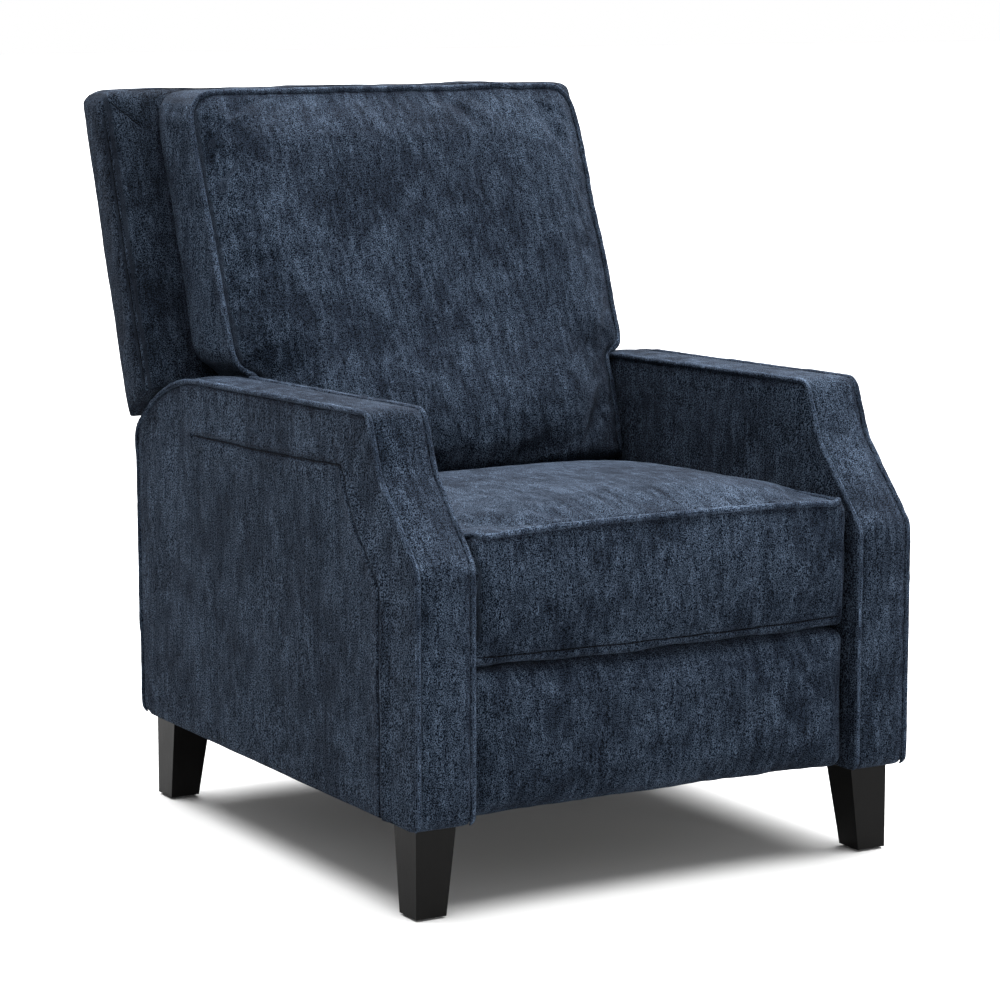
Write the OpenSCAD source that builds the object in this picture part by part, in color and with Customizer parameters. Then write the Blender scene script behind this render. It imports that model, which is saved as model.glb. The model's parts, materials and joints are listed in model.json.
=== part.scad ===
// Push-back recliner armchair: wooden frame, sprung seat, tilting back and fold-out footrest.
// Millimetres, +Z up, front towards -Y. The origin is on the floor, under the middle of the box.

/* [Overall] */
// Outer width across the two arms
arms_w = 760; // [740:2:780]
// Width of one arm
arm_w = 86; // [80:1:90]
// Width of the upright back above the arms
back_w = 792; // [780:2:810]
// Height of the top of the back
total_h = 1015; // [1000:1:1030]
// Height of the underside of the arms
arm_bottom = 121; // [118:1:130]

/* [Arms] */
// Height of the arm at its front top corner
arm_front_h = 640; // [625:1:650]
// Height of the knee on the arm's front edge
knee_h = 455; // [440:1:470]
// Width of the piping strips
piping_w = 8; // [6:1:10]
// How far the piping stands out of the fabric
piping_proud = 3; // [2:0.5:4]

/* [Seat] */
// Gap between the seat cushion and each arm
seat_gap = 6; // [5:0.5:8]
// Height of the seat cushion's underside at the front
seat_bottom = 326; // [324:1:328]
// Height of the seat cushion's crown
seat_top = 516; // [508:1:520]
// How far the seat travels forward
seat_travel = 50; // [0:1:50]

/* [Back] */
// Lean of the back from upright, in degrees
lean = 18.7; // [17:0.1:19]
// Thickness of the upholstered back panel
back_t = 92; // [86:1:94]
// Width of the loose-look back cushion
cushion_w = 642; // [620:2:660]

/* [Footrest] */
// Height of the footrest pad
footrest_h = 190; // [180:1:192]
// Thickness of the footrest pad
footrest_t = 40; // [34:1:40]

/* [Legs] */
// Side of a leg at the floor
leg_foot = 44; // [36:1:48]
// Side of a leg at its top
leg_head = 58; // [54:1:60]

/* [Hidden] */
$fn = 48;

// Every profile below is drawn in a side view whose y = 0 is at y_mid, so that the finished
// chair is centred on the origin.
y_mid = -11.4;

arm_out = arms_w / 2;                 // outer face of an arm
arm_in = arm_out - arm_w;             // inner face of an arm
panel_t = 24;                         // padded panel on each face of an arm
band_t = 14;                          // padded band over the arm frame's edge
seat_x = arm_in - seat_gap;           // half width of the seat
stem_x = arm_in - 9.5;                // half width of the back between the arms

front_y = -480;                       // front of the arms
seat_front = -463;                    // front of the seat cushion
seat_rail_h = 70;                     // height of the seat's wooden rails
seat_rail_z = 330;                    // underside of those rails
foam_z = seat_rail_z + seat_rail_h + 4;
seat_rear = 195;                      // rear end of the seat foam, under the back cushion
rail_front = -442;
rail_rear = 100;
seat_rail_x = 286;                    // outer faces of the side rails
side_rail_t = 24;

hinge = [150, 330];                   // side-view place of the back's hinge
arm_arc_r = 294 + piping_proud;       // rear of the arms is an arc about that hinge
wing_arc_r = 301;                     // the back's wings clear it by this arc

back_foot = [324, 446];               // rear face of the back, where it starts to lean
ply_top = 556;                        // height of the plywood up the lean
frame_n = -45;                        // front face of the plywood in the back, from its rear face
frame_t = 18;
ply_gap = 0.05;                       // clear space between the plywood and the lining before it
stem_rear = back_foot[0];
stem_bottom = 310;
back_corner_r = 36;

pin_r = 4;                            // rivets of the mechanism
run_r = pin_r + 0.08;                 // running holes on those rivets
hinge_pin_r = 6;                      // pin between a side plate and a back bracket
link_t = 4;
link_half = 9;                        // half the width of a link
plate_x = 289;                        // inner face of the side plates
plate_t = 4;
plane_a = 283.5;                      // the four planes that the links move in
plane_b = 278;
plane_c = 272.5;
plane_d = 267;

// Side-view places of the mechanism's pivots with the footrest stowed
pivot_rear = [-255.5, 290.9];         // rear link on the base
pivot_control = [-327.5, 300];        // control link on the base
pivot_knee = [-114.4, 140.2];         // rear link to front link
pivot_foot = [-389, 229.7];           // front link to footrest bracket
pivot_head = [-389, 260.3];           // brace link to footrest bracket, open pivot
lug_along = 0.25;                     // control link's pivot along the front link, from the knee
lug_side = 14;                        // and to its side, open pivot
brace_along = 0.9;                    // brace link's pivot along the rear link
brace_side = 8.25;
control_hole_r = 5.6;                 // open pivots have room for the closed linkage's last millimetres
brace_hole_r = 8;

board_rear = -411;                    // rear face of the footrest board
board_t = 15;
pad_rear = board_rear - board_t;
pad_z = 125;
footrest_x = arm_in - 7;

leg_z = 3;                            // top of the plastic glides
leg_top = arm_bottom - 4;             // underside of the steel leg plates
leg_x = 366;                          // outer faces of the legs
leg_front_y = -452;
leg_rear_y = 332;
bolt_r = 4.25;                        // holes for the leg bolts

// ---- helpers ----

// Extrudes a side-view profile, x towards the rear and y up, from x0 to x1
module side(x0, x1)
    translate([x0, y_mid, 0]) rotate([90, 0, 90]) linear_extrude(x1 - x0) children();

// Extrudes a front-view profile from y0 to y1
module front(y0, y1)
    translate([0, y_mid + y1, 0]) rotate([90, 0, 0]) linear_extrude(y1 - y0) children();

// Box from its lowest to its highest corner, in the side view's places
module box(a, b)
    translate([a[0], a[1] + y_mid, a[2]]) cube([b[0] - a[0], b[1] - a[1], b[2] - a[2]]);

// Draws its children on the left, or mirrored on the right
module hand(s)
    if (s > 0) children(); else mirror([1, 0, 0]) children();

module both()
    for (s = [1, -1]) hand(s) children();

function unit(v) = v / norm(v);
function turn(v) = [-v[1], v[0]];
function xy(p) = [p[0], p[1]];

// Arc that rounds corner b, between its neighbours a and c, with radius r
function rounded_corner(a, b, c, r, steps = 6) =
    r <= 0 ? [b] :
    let (u = unit(a - b), v = unit(c - b), half = acos(u * v) / 2,
         o = b + unit(u + v) * r / sin(half),
         p = b + u * r / tan(half) - o, q = b + v * r / tan(half) - o,
         a0 = atan2(p[1], p[0]), d0 = atan2(q[1], q[0]) - a0,
         d = d0 > 180 ? d0 - 360 : d0 < -180 ? d0 + 360 : d0)
    [for (i = [0:steps]) o + r * [cos(a0 + d * i / steps), sin(a0 + d * i / steps)]];

// Closed outline whose points are [x, y, corner radius]
function rounded(pts) = let (n = len(pts))
    [for (i = [0:n - 1])
        each rounded_corner(xy(pts[(i + n - 1) % n]), xy(pts[i]), xy(pts[(i + 1) % n]), pts[i][2])];

// The same outline moved inwards by d; its points run clockwise
function inset(pts, d) = let (n = len(pts))
    [for (i = [0:n - 1])
        let (a = xy(pts[(i + n - 1) % n]), b = xy(pts[i]), c = xy(pts[(i + 1) % n]),
             n1 = -turn(unit(b - a)), n2 = -turn(unit(c - b)), p = b + d * (n1 + n2) / (1 + n1 * n2))
        [p[0], p[1], max(0, pts[i][2] - d)]];

// ---- arms ----

// Side outline of an arm, clockwise from its front bottom corner
arm_rear_y = 364;
arm_low = arm_bottom - piping_proud;
arc_end = acos((arm_rear_y - hinge[0]) / arm_arc_r);
arm_points = concat(
    [[front_y, arm_low, 20], [front_y, knee_h, 30], [-382, 562, 60], [-352, arm_front_h, 20]],
    [for (a = [88:-5:arc_end]) [hinge[0] + arm_arc_r * cos(a), hinge[1] + arm_arc_r * sin(a), 0]],
    [[arm_rear_y, hinge[1] + arm_arc_r * sin(arc_end), 12], [356, arm_low, 20]]);

module arm_shape(d) polygon(rounded(inset(arm_points, d)));

// The padded band over the front, top and rear edges of the arm's frame
module band_shape()
    difference() {
        arm_shape(piping_proud);
        arm_shape(band_t + piping_proud);
        translate([-430, arm_bottom - 1]) square([760, 41]);
    }

module arm_frame(s)
    color("burlywood") hand(s) difference() {
        side(arm_in + panel_t, arm_out - panel_t)
            difference() {
                arm_shape(piping_proud);
                band_shape();
            }
        leg_bolt_holes();
    }

module arm_outer_panel(s)
    color("midnightblue") hand(s) side(arm_out - panel_t, arm_out) arm_shape(piping_proud);

module arm_inner_panel(s)
    color("midnightblue") hand(s) side(arm_in, arm_in + panel_t) arm_shape(piping_proud);

module arm_band(s)
    color("darkslateblue") hand(s) side(arm_in + panel_t, arm_out - panel_t) band_shape();

module arm_piping(s)
    color("navy") hand(s)
        for (x = [arm_in + 2, arm_out - 2 - piping_w])
            side(x, x + piping_w)
                difference() {
                    arm_shape(0);
                    arm_shape(piping_proud);
                    translate([-440, arm_low - 1]) square([780, 12]);
                }

// ---- base between the arms ----

module rear_rail()
    color("burlywood") box([-arm_in, 318, 125], [arm_in, 338, 185]);

module rear_panel()
    color("midnightblue") side(-arm_in, arm_in)
        polygon(rounded([[338, 121, 2], [338, 304, 6], [354, 304, 6], [354, 121, 6]]));

module dust_cover()
    color("dimgray") box([-arm_in, -92, 123], [arm_in, 338, 125]);

module rear_stretcher()
    color("gray") translate([-arm_in, y_mid + 80, 150]) rotate([0, 90, 0]) cylinder(h = 2 * arm_in, r = 12.5);

// Rivet along X through a side-view point
module pin(p, x0, x1, r = pin_r)
    translate([x0, y_mid + p[0], p[1]]) rotate([0, 90, 0]) cylinder(h = x1 - x0, r = r);

// Steel plate on the inside of each arm: it holds the links, the seat's slide and the back's hinge
module side_plate(s)
    color("gray") hand(s) difference() {
        union() {
            side(plate_x, arm_in)
                union() {
                    polygon([[-380, 262], [-380, 319], [190, 319], [190, 262]]);
                    translate([hinge[0] - 22, hinge[1] - 12]) square([44, 16]);
                    translate(hinge) circle(r = 22);
                }
            box([plane_d + 1, -380, 314], [plate_x, 100, 319]);
        }
        for (p = [pivot_rear, pivot_control, hinge])
            pin(p, plate_x - 1, arm_in + 1, p == hinge ? hinge_pin_r : pin_r);
    }

module base_pivots()
    color("silver") both() {
        pin(pivot_rear, plane_a, arm_in);
        pin(pivot_control, plane_c, arm_in);
        pin(hinge, stem_x, arm_in, hinge_pin_r);
    }

// ---- legs ----

// Centre of a leg's bolt, over the middle of its foot
function leg_bolt(rear) =
    [leg_x - leg_foot / 2 - 4, rear ? leg_rear_y - leg_foot / 2 - 4 : leg_front_y + leg_foot / 2 + 4];

// Leg with upright outer and end faces, tapered on the other two
module leg(s, rear)
    color("#1c1a1a") hand(s) difference() {
        hull() for (q = [[leg_z, leg_foot], [leg_top - 1, leg_head]])
            translate([leg_x - q[1], y_mid + (rear ? leg_rear_y - q[1] : leg_front_y), q[0]])
                cube([q[1], q[1], 1]);
        translate([leg_bolt(rear)[0], leg_bolt(rear)[1] + y_mid, leg_top - 50]) cylinder(h = 60, r = bolt_r);
    }

module leg_bolt_holes()
    for (rear = [false, true])
        translate([leg_bolt(rear)[0], leg_bolt(rear)[1] + y_mid, arm_bottom - 1]) cylinder(h = 36, r = bolt_r);

module leg_plates()
    color("gray") both() for (rear = [false, true]) difference() {
        box([leg_x - leg_head + 4, (rear ? leg_rear_y - leg_head : leg_front_y) + 4, leg_top],
            [leg_x - 4, (rear ? leg_rear_y : leg_front_y + leg_head) - 4, arm_bottom]);
        translate([leg_bolt(rear)[0], leg_bolt(rear)[1] + y_mid, leg_top - 1]) cylinder(h = 6, r = bolt_r);
    }

module leg_bolts()
    color("silver") both() for (rear = [false, true])
        translate([leg_bolt(rear)[0], leg_bolt(rear)[1] + y_mid, leg_top - 50]) cylinder(h = 80, r = 4);

module leg_glides()
    color("black") both() for (rear = [false, true])
        translate([leg_x - leg_foot / 2, y_mid + (rear ? leg_rear_y - leg_foot / 2 : leg_front_y + leg_foot / 2), 0])
            cylinder(h = leg_z, r = 17);

// ---- seat ----

module seat_front_rail()
    color("burlywood") box([-seat_rail_x, rail_front, seat_rail_z],
                           [seat_rail_x, rail_front + 22, seat_rail_z + seat_rail_h]);

module seat_rear_rail()
    color("burlywood") box([-seat_rail_x + side_rail_t, rail_rear - 22, seat_rail_z],
                           [seat_rail_x - side_rail_t, rail_rear, seat_rail_z + seat_rail_h]);

module seat_side_rails()
    color("burlywood") both()
        box([seat_rail_x - side_rail_t, rail_front + 22, seat_rail_z],
            [seat_rail_x, rail_rear, seat_rail_z + seat_rail_h]);

// Steel channels under the seat that run on the side plates' flanges
module seat_runners()
    color("dimgray") both()
        box([plane_d + 1, -400, 319.5], [seat_rail_x, rail_rear, seat_rail_z]);

// Sinuous wire springs lying on the rails, front to rear
spring_count = 5;
spring_pitch = 100;
spring_wire = 4;
spring_turn = 14;                     // radius of a bend, to the wire's middle
spring_reach = 26;                    // straight length between bends

module seat_springs()
    color("silver") for (i = [0:spring_count - 1])
        translate([(i - (spring_count - 1) / 2) * spring_pitch, y_mid + rail_front + 10, foam_z - spring_wire])
            linear_extrude(spring_wire) spring_shape();

module spring_shape() {
    step = 2 * spring_turn;
    turns = floor((rail_rear - rail_front - 20) / step);
    for (k = [0:turns])
        translate([-spring_reach / 2, k * step - spring_wire / 2]) square([spring_reach, spring_wire]);
    for (k = [0:turns - 1])
        translate([(k % 2 == 0 ? 1 : -1) * spring_reach / 2, (k + 0.5) * step])
            intersection() {
                difference() {
                    circle(r = spring_turn + spring_wire / 2);
                    circle(r = spring_turn - spring_wire / 2);
                }
                translate([k % 2 == 0 ? 0 : -2 * spring_turn, -2 * spring_turn])
                    square([2 * spring_turn, 4 * spring_turn]);
            }
}

// Seat cushion with its front border hanging before the front rail
module seat_cushion()
    color("darkslateblue") side(-seat_x, seat_x)
        polygon(rounded([
            [seat_front, seat_bottom, 3], [seat_front, 478, 8], [-452, 491, 3],
            [-400, 506, 30], [-250, seat_top, 200], [-90, 504, 150], [60, 484, 60], [seat_rear, 484, 12],
            [seat_rear, foam_z, 4], [rail_front - 1, foam_z, 0], [rail_front - 1, seat_bottom, 3]]));

module seat_piping()
    color("navy") side(-seat_x, seat_x)
        polygon([[seat_front, 480], [seat_front - 4, 484], [seat_front - 4, 490],
                 [seat_front + 1, 494], [-456, 494], [-452.5, 491], [seat_front + 0.5, 479]]);

// ---- back ----

// Side-view point at n in front of (negative) the back's rear face and s along it from its foot
function on_back(n, s) =
    back_foot + [n * cos(lean) + s * sin(lean), -n * sin(lean) + s * cos(lean)];
function back_s(n, z) = (z - back_foot[1] + n * sin(lean)) / cos(lean);

// Leaning part of the back
module back_shape()
    polygon(rounded([
        concat(on_back(-back_t, -60), 0), concat(on_back(-back_t, back_s(-back_t, total_h)), 30),
        concat(on_back(0, back_s(0, total_h)), 35), concat(on_back(0, -60), 0)]));

stem_front = on_back(-back_t, 30)[0];
frame_front = on_back(frame_n, 0)[0];
frame_rear = on_back(frame_n + frame_t, 0)[0];

// Upright part of the back, between the arms
module stem_shape()
    polygon(rounded([[stem_front, stem_bottom, 8], concat(on_back(-back_t, 30), 0), concat(on_back(0, 10), 0),
                     [stem_rear, back_foot[1], 0], [stem_rear, stem_bottom, 14]]));

// Side-view region before (+1) or behind (-1) the plywood's front face
module before_frame(before)
    translate(on_back(frame_n, 0)) rotate(-lean)
        translate([before > 0 ? -200 - ply_gap : 0, 0]) square([200, 600]);

module before_stem_frame(before)
    translate([before > 0 ? frame_front - 200 - ply_gap : frame_front, 200])
        square([200, on_back(before > 0 ? -back_t : frame_n, 0)[1] - 200]);

// Front-view outline of the upper back
module back_outline(half, z0, z1, r)
    polygon(rounded([[-half, z0, 0], [-half, z1, r], [half, z1, r], [half, z0, 0]]));

// Clears the space that the arms need when the back tilts
module arm_clearance(r = wing_arc_r)
    for (s = [1, -1]) hand(s) pin(hinge, stem_x, 500, r, $fn = 128);

// All of the upholstered back that lies on one side of the plywood's front face
module back_layer(before) {
    intersection() {
        difference() {
            side(-back_w / 2, back_w / 2) intersection() { back_shape(); before_frame(before); }
            arm_clearance();
            for (s = [1, -1]) hand(s) box([stem_x, 100, 200], [500, 600, hinge[1] + 160]);
        }
        front(100, 600) back_outline(back_w / 2, 200, total_h, back_corner_r);
    }
    side(-stem_x, stem_x) intersection() { stem_shape(); before_stem_frame(before); }
}

module back_frame()
    color("burlywood") {
        difference() {
            side(-back_w / 2 + 20, back_w / 2 - 20)
                polygon([on_back(frame_n, 0), on_back(frame_n, ply_top),
                         on_back(frame_n + frame_t, ply_top), on_back(frame_n + frame_t, 0)]);
            arm_clearance(wing_arc_r + 14);
        }
        side(-stem_x, stem_x)
            polygon([[frame_front, 325], on_back(frame_n, 0), on_back(frame_n + frame_t, 0), [frame_rear, 325]]);
    }

module back_outer_pad()
    color("midnightblue") difference() {
        back_layer(-1);
        back_frame();
    }

module back_lining_pad()
    color("midnightblue") back_layer(1);

// Side profile of the back cushion: crowned front, rear against the lining
cushion_bottom = 506;
cushion_top = 1010;

function cushion_rear(z) = on_back(-back_t, back_s(-back_t, z))[0] - 0.3;

module cushion_shape()
    polygon(rounded([
        [cushion_rear(cushion_bottom), cushion_bottom, 4], [104, cushion_bottom, 20], [92, 560, 60],
        [140, 660, 60], [226, 850, 200], [292, 985, 40], [300, cushion_top, 8],
        [cushion_rear(cushion_top), cushion_top, 6]]));

module back_cushion()
    color("darkslateblue") intersection() {
        union() {
            side(-stem_x, stem_x) cushion_shape();
            difference() {
                side(-cushion_w / 2, cushion_w / 2) cushion_shape();
                arm_clearance();
                for (s = [1, -1]) hand(s) box([stem_x, 0, 200], [500, 600, 640]);
            }
        }
        front(0, 600) back_outline(cushion_w / 2, 200, cushion_top, 60);
    }

// Piping strip round the cushion's front edge, above the arms
module back_piping()
    color("navy") intersection() {
        side(-400, 400)
            polygon([[300, 1020], [312, 1020], [193, 690], [181, 690]]);
        front(0, 600) difference() {
            back_outline(cushion_w / 2 + piping_proud, 690, cushion_top + piping_proud, 63);
            back_outline(cushion_w / 2, 600, cushion_top, 60);
        }
    }

module back_bracket(s)
    color("gray") hand(s) difference() {
        side(stem_x, stem_x + link_t)
            polygon(rounded([concat(hinge + [-18, -17], 17), concat(hinge + [-18, 18], 17), [stem_front, 396, 0],
                             [frame_rear, 396, 0], [frame_rear, 326, 0]]));
        pin(hinge, stem_x - 1, stem_x + link_t + 1, hinge_pin_r + 0.08);
    }

// ---- footrest ----

module footrest_board()
    color("burlywood") box([-footrest_x + 7, pad_rear, pad_z + 7], [footrest_x - 7, board_rear, pad_z + footrest_h - 7]);

module footrest_pad()
    color("darkslateblue") side(-footrest_x, footrest_x)
        polygon(rounded([[pad_rear, pad_z, 3], [pad_rear - footrest_t, pad_z, 16],
                         [pad_rear - footrest_t, pad_z + footrest_h, 16], [pad_rear, pad_z + footrest_h, 3]]));

// Angle on the back of the footrest board
module footrest_bracket(s)
    color("gray") hand(s) difference() {
        union() {
            side(plane_c, plane_c + link_t)
                polygon(rounded([[board_rear, 205, 0], [board_rear, 285, 0], [-378, 272, 10], [-378, 218, 10]]));
            box([plane_c - 24, board_rear, 205], [plane_c, board_rear + 3, 285]);
        }
        for (p = [pivot_foot, pivot_head]) pin(p, plane_c - 1, plane_c + link_t + 1);
    }

module footrest_pivots()
    color("silver") both() {
        pin(pivot_foot, plane_c, plane_b + link_t);
        pin(pivot_head, plane_d, plane_c + link_t);
    }

// ---- links ----

// Flat bar between two side-view points
module bar(p, q, half = link_half) {
    translate(p) circle(r = half);
    translate(q) circle(r = half);
    translate(p) rotate(atan2(q[1] - p[1], q[0] - p[0])) translate([0, -half]) square([norm(q - p), 2 * half]);
}

// Point at a share of the way from p to q, moved to the side
function beside(p, q, share, off) = p + share * (q - p) + off * turn(unit(q - p));

pivot_lug = beside(pivot_knee, pivot_foot, lug_along, lug_side);
pivot_brace = beside(pivot_rear, pivot_knee, brace_along, brace_side);

// One link: a flat shape in its plane with holes at [point, radius]
module link(s, x, holes)
    color("gray") hand(s) difference() {
        side(x, x + link_t) children();
        for (h = holes) pin(h[0], x - 1, x + link_t + 1, h[1]);
    }

module rear_link(s)
    link(s, plane_a, [[pivot_rear, run_r], [pivot_knee, pin_r], [pivot_brace, pin_r]]) {
        bar(pivot_rear, pivot_knee);
        translate(pivot_brace) circle(r = link_half);
    }

module rear_link_pivots()
    color("silver") both() {
        pin(pivot_knee, plane_b, plane_a + link_t);
        pin(pivot_brace, plane_d, plane_a + link_t);
    }

module front_link(s)
    link(s, plane_b, [[pivot_knee, run_r], [pivot_foot, run_r], [pivot_lug, pin_r]]) {
        bar(pivot_knee, pivot_foot);
        bar(beside(pivot_knee, pivot_foot, lug_along, 0), pivot_lug);
    }

module front_link_pivots()
    color("silver") both() pin(pivot_lug, plane_c, plane_b + link_t);

module control_link(s)
    link(s, plane_c, [[pivot_control, run_r], [pivot_lug, control_hole_r]]) {
        bar(pivot_control, pivot_lug);
        translate(pivot_lug) circle(r = control_hole_r + 5);
    }

module brace_link(s)
    link(s, plane_d, [[pivot_brace, run_r], [pivot_head, brace_hole_r]]) {
        bar(pivot_brace, pivot_head);
        translate(pivot_head) circle(r = brace_hole_r + 4);
    }

// Cross tube that ties the left and right sets of links together
module torque_tube()
    color("gray") pin((pivot_brace + pivot_head) / 2, -plane_d, plane_d, 8);

// ---- left and right sub-parts ----

module arm_frame_left() arm_frame(1);
module arm_frame_right() arm_frame(-1);
module arm_outer_panel_left() arm_outer_panel(1);
module arm_outer_panel_right() arm_outer_panel(-1);
module arm_inner_panel_left() arm_inner_panel(1);
module arm_inner_panel_right() arm_inner_panel(-1);
module arm_band_left() arm_band(1);
module arm_band_right() arm_band(-1);
module arm_piping_left() arm_piping(1);
module arm_piping_right() arm_piping(-1);
module side_plate_left() side_plate(1);
module side_plate_right() side_plate(-1);
module leg_front_left() leg(1, false);
module leg_front_right() leg(-1, false);
module leg_rear_left() leg(1, true);
module leg_rear_right() leg(-1, true);
module back_bracket_left() back_bracket(1);
module back_bracket_right() back_bracket(-1);
module footrest_bracket_left() footrest_bracket(1);
module footrest_bracket_right() footrest_bracket(-1);
module rear_link_left() rear_link(1);
module rear_link_right() rear_link(-1);
module front_link_left() front_link(1);
module front_link_right() front_link(-1);
module control_link_left() control_link(1);
module control_link_right() control_link(-1);
module brace_link_left() brace_link(1);
module brace_link_right() brace_link(-1);

arm_frame_left();
arm_frame_right();
arm_outer_panel_left();
arm_outer_panel_right();
arm_inner_panel_left();
arm_inner_panel_right();
arm_band_left();
arm_band_right();
arm_piping_left();
arm_piping_right();
rear_rail();
rear_panel();
dust_cover();
side_plate_left();
side_plate_right();
base_pivots();
rear_stretcher();
leg_front_left();
leg_front_right();
leg_rear_left();
leg_rear_right();
leg_plates();
leg_bolts();
leg_glides();
seat_front_rail();
seat_rear_rail();
seat_side_rails();
seat_springs();
seat_cushion();
seat_piping();
seat_runners();
back_frame();
back_outer_pad();
back_lining_pad();
back_cushion();
back_piping();
back_bracket_left();
back_bracket_right();
footrest_board();
footrest_pad();
footrest_bracket_left();
footrest_bracket_right();
footrest_pivots();
rear_link_left();
rear_link_right();
rear_link_pivots();
front_link_left();
front_link_right();
front_link_pivots();
control_link_left();
control_link_right();
brace_link_left();
brace_link_right();
torque_tube();
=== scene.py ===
import json
import math

import bmesh
import bpy
import numpy as np
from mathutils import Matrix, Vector
from mathutils.bvhtree import BVHTree
from mathutils.kdtree import KDTree


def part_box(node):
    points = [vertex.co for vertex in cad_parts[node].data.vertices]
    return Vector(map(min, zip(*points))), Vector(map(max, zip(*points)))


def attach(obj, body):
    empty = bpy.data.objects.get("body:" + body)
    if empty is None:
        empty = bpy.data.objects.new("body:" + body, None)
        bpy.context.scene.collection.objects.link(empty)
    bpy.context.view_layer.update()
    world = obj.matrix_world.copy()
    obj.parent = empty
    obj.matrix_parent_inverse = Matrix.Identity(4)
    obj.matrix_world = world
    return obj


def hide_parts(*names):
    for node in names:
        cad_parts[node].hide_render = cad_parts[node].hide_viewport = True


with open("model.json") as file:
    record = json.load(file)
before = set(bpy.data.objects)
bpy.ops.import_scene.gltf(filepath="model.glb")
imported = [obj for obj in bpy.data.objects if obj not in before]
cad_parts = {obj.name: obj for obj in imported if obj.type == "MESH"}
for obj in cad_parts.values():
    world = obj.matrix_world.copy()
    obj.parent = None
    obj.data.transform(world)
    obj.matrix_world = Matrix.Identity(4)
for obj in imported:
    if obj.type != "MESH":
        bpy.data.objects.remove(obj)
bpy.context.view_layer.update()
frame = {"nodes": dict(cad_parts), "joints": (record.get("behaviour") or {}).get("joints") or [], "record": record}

# A push-back recliner armchair. Lengths in this script are in millimetres until make_mesh()
# and tube(), which turn them into metres. Side-view places (y, z) are those of the frame.

MM = 0.001


def box_mm(node):
    """Lowest and highest corner of a CAD node, in millimetres."""
    low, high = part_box(node)
    return np.array(low) / MM, np.array(high) / MM


# ---- places taken from the frame ----

ARM_OUT = box_mm("arm_outer_panel_left")[1][0]
ARM_IN = box_mm("arm_inner_panel_left")[0][0]
Y0 = box_mm("arm_piping_left")[0][1] + 480.0    # where side-view y = 0 lies in the frame
ARM_BOTTOM = box_mm("arm_outer_panel_left")[0][2]
seat_low, seat_high = box_mm("seat_cushion")
SEAT_X = seat_high[0]
CUSHION_X = box_mm("back_cushion")[1][0]
BACK_X, _, TOTAL_H = box_mm("back_outer_pad")[1]
pad_low, pad_high = box_mm("footrest_pad")
STEM_X = box_mm("back_bracket_left")[0][0]
HINGE = next(np.array([j["pos_m"][1], j["pos_m"][2]]) / MM - (Y0, 0)
             for j in frame["joints"] if j["name"] == "recline")
LEAN = math.radians(18.7)               # of the back, from upright
BACK_FOOT = np.array([324.0, 446.0])    # where the back's rear face starts to lean
BACK_T = 92.0                           # thickness of the upholstered back
ARM_ARC_R = 297.0                       # rear corner of the arm, about the hinge
WING_ARC_R = 301.0                      # underside of the back's wings, about the hinge


# ---- outlines ----

def rounded(points, steps=8):
    """Closed 2-D outline whose corners, given as (x, y, radius), are rounded."""
    out, n = [], len(points)
    for i, (x, y, r) in enumerate(points):
        b = np.array([x, y], float)
        if r <= 0:
            out.append(b)
            continue
        a, c = np.array(points[i - 1][:2], float), np.array(points[(i + 1) % n][:2], float)
        u, v = (a - b) / np.linalg.norm(a - b), (c - b) / np.linalg.norm(c - b)
        half = math.acos(np.clip(u @ v, -1, 1)) / 2
        o = b + (u + v) / np.linalg.norm(u + v) * r / math.sin(half)
        p, q = b + u * r / math.tan(half) - o, b + v * r / math.tan(half) - o
        a0 = math.atan2(p[1], p[0])
        d = (math.atan2(q[1], q[0]) - a0 + math.pi) % (2 * math.pi) - math.pi
        out += [o + r * np.array([math.cos(a0 + d * k / steps), math.sin(a0 + d * k / steps)])
                for k in range(steps + 1)]
    return np.array(out)


def resampled(path, step, closed=False):
    """The same path with points at an even spacing."""
    path = np.asarray(path, float)
    if closed:
        path = np.vstack([path, path[:1]])
    lengths = np.concatenate([[0], np.cumsum(np.linalg.norm(np.diff(path, axis=0), axis=1))])
    count = max(2, int(round(lengths[-1] / step)) + 1)
    at = np.linspace(0, lengths[-1], count)
    even = np.stack([np.interp(at, lengths, path[:, k]) for k in range(path.shape[1])], 1)
    return even[:-1] if closed else even


def inset(points, d):
    """Clockwise outline of (x, y, radius) corners moved inwards by d."""
    out, n = [], len(points)
    for i, (x, y, r) in enumerate(points):
        a, b, c = (np.array(points[k % n][:2], float) for k in (i - 1, i, i + 1))
        t1, t2 = (b - a) / np.linalg.norm(b - a), (c - b) / np.linalg.norm(c - b)
        n1, n2 = np.array([t1[1], -t1[0]]), np.array([t2[1], -t2[0]])
        p = b + d * (n1 + n2) / (1 + n1 @ n2)
        out.append((p[0], p[1], max(0.0, r - d)))
    return out


def smooth_curve(knots, at):
    """Smooth function through (x, value) knots."""
    x, y = np.array(knots, float).T
    slope = np.gradient(y, x)
    at = np.clip(at, x[0], x[-1])
    i = np.clip(np.searchsorted(x, at) - 1, 0, len(x) - 2)
    h = x[i + 1] - x[i]
    t = (at - x[i]) / h
    return ((2 * t**3 - 3 * t**2 + 1) * y[i] + (t**3 - 2 * t**2 + t) * h * slope[i]
            + (-2 * t**3 + 3 * t**2) * y[i + 1] + (t**3 - t**2) * h * slope[i + 1])


# ---- meshes ----

def link(obj):
    bpy.context.scene.collection.objects.link(obj)
    return obj


def make_mesh(name, verts_mm, faces):
    """Smooth-shaded mesh object from points in side-view millimetres."""
    data = bpy.data.meshes.new(name)
    at = (np.asarray(verts_mm, float) + (0, Y0, 0)) * MM
    data.from_pydata([tuple(p) for p in at], [], [tuple(f) for f in faces])
    data.shade_smooth()
    return link(bpy.data.objects.new(name, data))


def points_of(obj):
    """Vertex positions in side-view millimetres."""
    co = np.empty(len(obj.data.vertices) * 3)
    obj.data.vertices.foreach_get("co", co)
    return co.reshape(-1, 3) / MM - (0, Y0, 0)


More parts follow.
